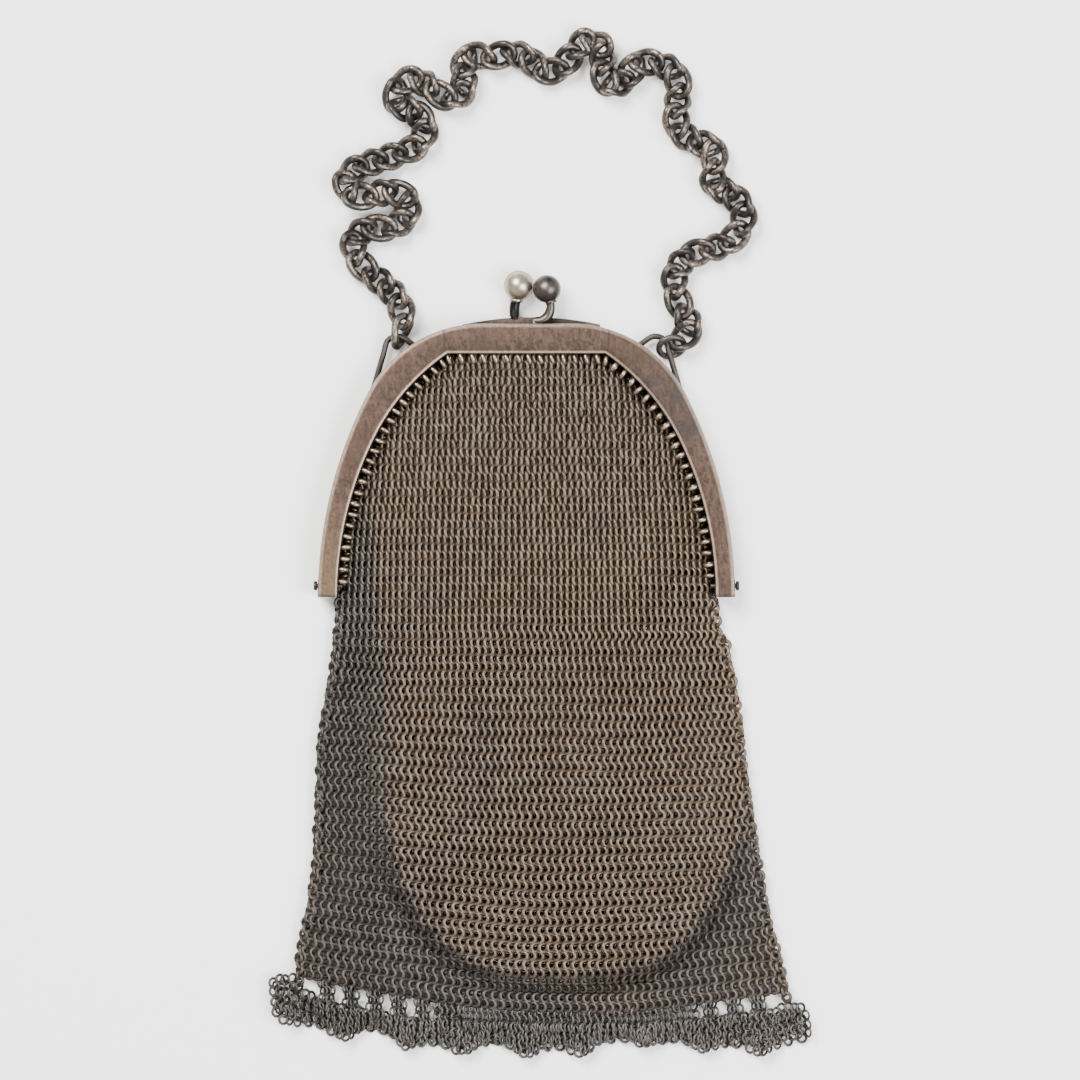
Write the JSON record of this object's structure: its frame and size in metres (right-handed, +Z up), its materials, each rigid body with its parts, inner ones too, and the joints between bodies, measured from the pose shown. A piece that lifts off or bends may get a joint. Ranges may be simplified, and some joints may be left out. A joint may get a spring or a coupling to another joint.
{
  "type": "mesh purse",
  "caption": "Metal ring-mail purse with an arched hinged frame, ball clasp and chain handle, lying flat with its bag bulged below the frame and a ruffled frill along the hem.",
  "frame": {"origin": "middle of the bottom of the bounding box, on the table under the lying purse", "axes": "+X across the purse, +Y from the frilled hem up to the chain handle, +Z up from the table"},
  "size_m": [0.1386, 0.2544, 0.0099],
  "materials": {
    "frame_metal": "tarnished silvered metal with a rosy brown cast, satin",
    "ball_metal": "worn silvered metal, semi-gloss",
    "dark_ball_metal": "tarnished silvered metal, semi-gloss",
    "chain_metal": "dark oxidised metal with worn edges",
    "mail_metal": "oxidised ring mail, warm brown and charcoal"
  },
  "bodies": {
    "root": {"frame_front": "frame_metal", "frame_back": "frame_metal", "clasp_knob_front": "dark_ball_metal", "clasp_knob_back": "ball_metal", "hinge_pin_left": "frame_metal", "hinge_pin_right": "frame_metal", "chain_ring_right": "chain_metal", "handle_chain": "chain_metal", "mesh_bag": "mail_metal", "hem_frill": "mail_metal"}
  },
  "joints": []
}
